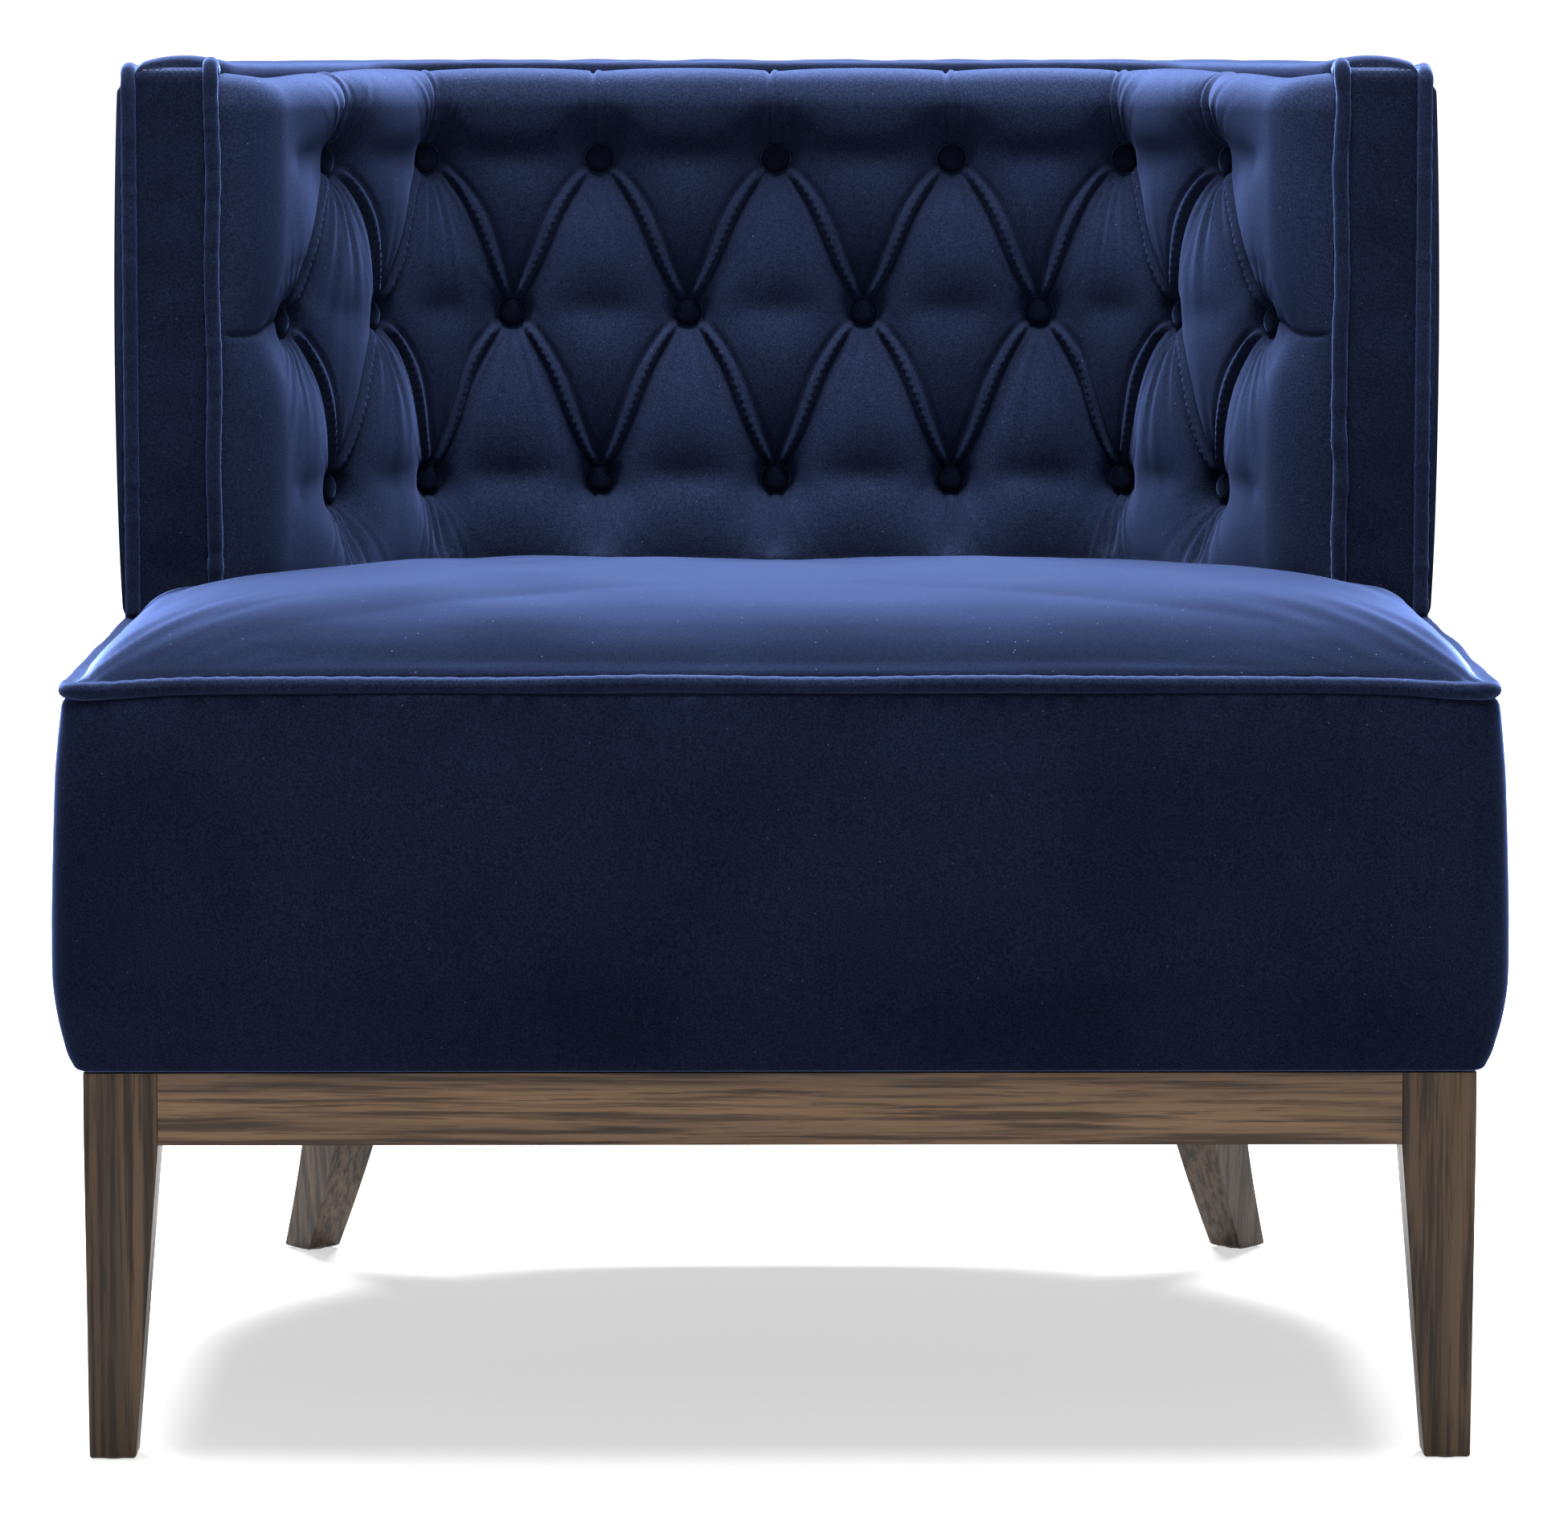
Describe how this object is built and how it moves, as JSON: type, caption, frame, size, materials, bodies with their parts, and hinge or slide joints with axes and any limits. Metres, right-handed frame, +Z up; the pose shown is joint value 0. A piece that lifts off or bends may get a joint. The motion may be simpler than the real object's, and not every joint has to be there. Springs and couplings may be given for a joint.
{
  "type": "slipper chair",
  "caption": "Low lounge chair with a deep-buttoned wrap-around velvet back, boxed and crowned seat with piped edges, and tapered dark wooden legs joined by an apron.",
  "frame": {"origin": "on the floor, at the middle of the chair's overall width and depth", "axes": "+Z up; +X across the chair's width, towards a sitter's left-hand side; +Y from the front to the rear"},
  "size_m": [0.7836, 0.7556, 0.7475],
  "materials": {
    "velvet": "short-pile cotton velvet, deep navy, matte with a bright sheen at grazing angles",
    "piping_velvet": "the same velvet on the bias round a cotton cord",
    "wood": "dark stained solid timber, satin lacquer",
    "frame_timber": "sawn beech, unfinished",
    "plywood": "birch plywood, unfinished",
    "foam": "polyurethane upholstery foam",
    "webbing": "elasticated woven upholstery webbing",
    "base_cloth": "black non-woven cloth",
    "fibreboard": "thin bendable fibreboard",
    "wadding": "polyester wadding",
    "twine": "waxed tufting twine",
    "zinc_steel": "zinc-plated steel",
    "glide_nylon": "black nylon"
  },
  "bodies": {
    "root": {"back_bottom_plate": "plywood", "back_buttons": "velvet", "back_foam": "foam", "back_inner_cover": "velvet", "back_outer_cover": "velvet", "back_outer_liner": "fibreboard", "back_outer_pad": "wadding", "back_top_cover": "velvet", "back_top_foam": "foam", "back_top_plate": "plywood", "body_bolts": "zinc_steel", "button_ties": "twine", "corner_foams": "foam", "corner_ribs": "frame_timber", "dust_cover": "base_cloth", "facing_cover_left": "velvet", "facing_cover_right": "velvet", "facing_foams": "foam", "front_apron": "wood", "front_corner_blocks": "frame_timber", "front_leg_left": "wood", "front_leg_right": "wood", "inner_piping_left": "piping_velvet", "inner_piping_right": "piping_velvet", "leg_bolts": "zinc_steel", "leg_glides": "glide_nylon", "leg_nuts": "zinc_steel", "outer_piping": "piping_velvet", "rear_apron": "wood", "rear_corner_blocks": "frame_timber", "rear_leg_dowels": "frame_timber", "rear_leg_left": "wood", "rear_leg_right": "wood", "rear_ribs": "frame_timber", "seat_border_cover": "velvet", "seat_border_foam": "foam", "seat_cross_rail": "frame_timber", "seat_foam_core": "foam", "seat_foam_topper": "foam", "seat_front_blocks": "frame_timber", "seat_front_board": "frame_timber", "seat_piping": "piping_velvet", "seat_rear_blocks": "frame_timber", "seat_rear_board": "frame_timber", "seat_side_board_left": "frame_timber", "seat_side_board_right": "frame_timber", "seat_top_cover": "velvet", "side_apron_left": "wood", "side_apron_right": "wood", "tie_washers": "zinc_steel", "tufting_board": "plywood", "webbing_crosswise": "webbing", "webbing_lengthwise": "webbing", "wing_foam_left": "foam", "wing_foam_right": "foam", "wing_post_left": "frame_timber", "wing_post_right": "frame_timber", "wing_ribs": "frame_timber"}
  },
  "joints": []
}
